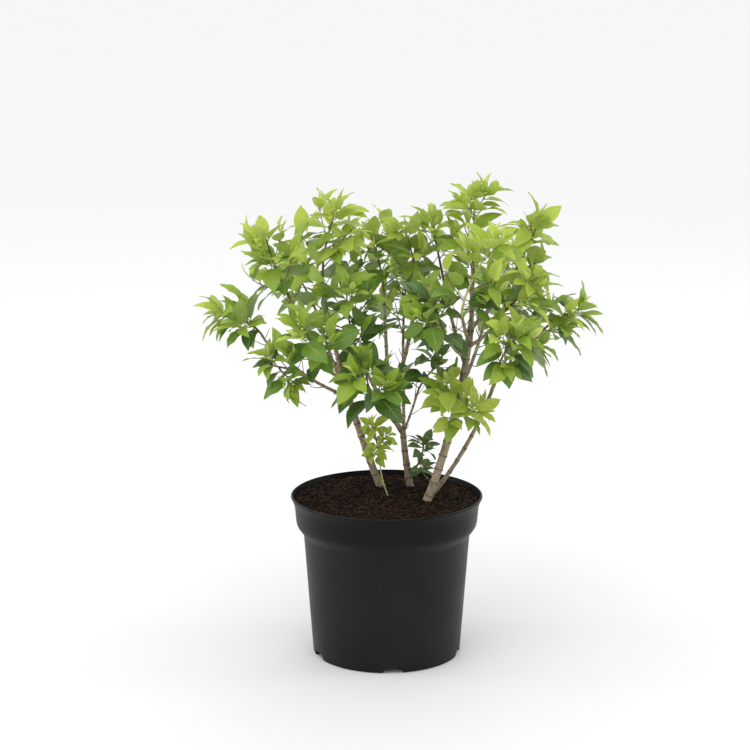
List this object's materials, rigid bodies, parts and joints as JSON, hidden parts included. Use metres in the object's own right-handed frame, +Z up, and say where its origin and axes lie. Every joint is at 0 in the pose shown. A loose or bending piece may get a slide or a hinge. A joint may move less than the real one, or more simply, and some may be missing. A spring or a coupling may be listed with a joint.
{
  "type": "potted hydrangea shrub",
  "caption": "Young leafy hydrangea shrub on several woody stems, out of bloom, in a round black nursery pot with a flared rim and notched foot, filled with potting mix.",
  "frame": {"origin": "middle of the pot's flat underside", "axes": "+Z up the pot's axis, +Y away from the viewer of the picture, +X to the viewer's right"},
  "size_m": [0.4829, 0.3691, 0.5828],
  "materials": {
    "pot": "matt black with a soft sheen",
    "potting_mix": "damp dark peat",
    "bark": "grey-brown bark with node rings",
    "foliage": "fresh green leaf, lighter at the shoot tips"
  },
  "bodies": {
    "root": {"bough_back": "bark", "bough_centre_front": "bark", "bough_centre_leader": "bark", "bough_centre_left": "bark", "bough_centre_right": "bark", "bough_centre_shoot": "bark", "bough_centre_top": "bark", "bough_left_back": "bark", "bough_left_drooping": "bark", "bough_left_far": "bark", "bough_left_front": "bark", "bough_left_leader": "bark", "bough_left_low": "bark", "bough_left_upper": "bark", "bough_middle": "bark", "bough_right_back": "bark", "bough_right_front": "bark", "bough_right_inner": "bark", "bough_right_leader": "bark", "bough_right_mid": "bark", "bough_right_upper": "bark", "bough_thin_far": "bark", "bough_thin_front": "bark", "bough_thin_out": "bark", "foliage_back": "foliage", "foliage_centre_back": "foliage", "foliage_centre_front": "foliage", "foliage_centre_left": "foliage", "foliage_centre_right": "foliage", "foliage_centre_top": "foliage", "foliage_centre_upper": "foliage", "foliage_far_right": "foliage", "foliage_left_back": "foliage", "foliage_left_drooping": "foliage", "foliage_left_far": "foliage", "foliage_left_front": "foliage", "foliage_left_upper": "foliage", "foliage_low_shoot": "foliage", "foliage_middle_side": "foliage", "foliage_right_back": "foliage", "foliage_right_front": "foliage", "foliage_right_inner": "foliage", "foliage_right_low": "foliage", "foliage_right_mid": "foliage", "foliage_right_out": "foliage", "foliage_right_side_front": "foliage", "foliage_right_side_left": "foliage", "foliage_right_top": "foliage", "foliage_right_upper": "foliage", "foliage_top_left": "foliage", "pot": "pot", "potting_mix": "potting_mix", "stem_left": "bark", "stem_low": "bark", "stem_middle": "bark", "stem_right": "bark", "stem_thin": "bark"}
  },
  "joints": []
}
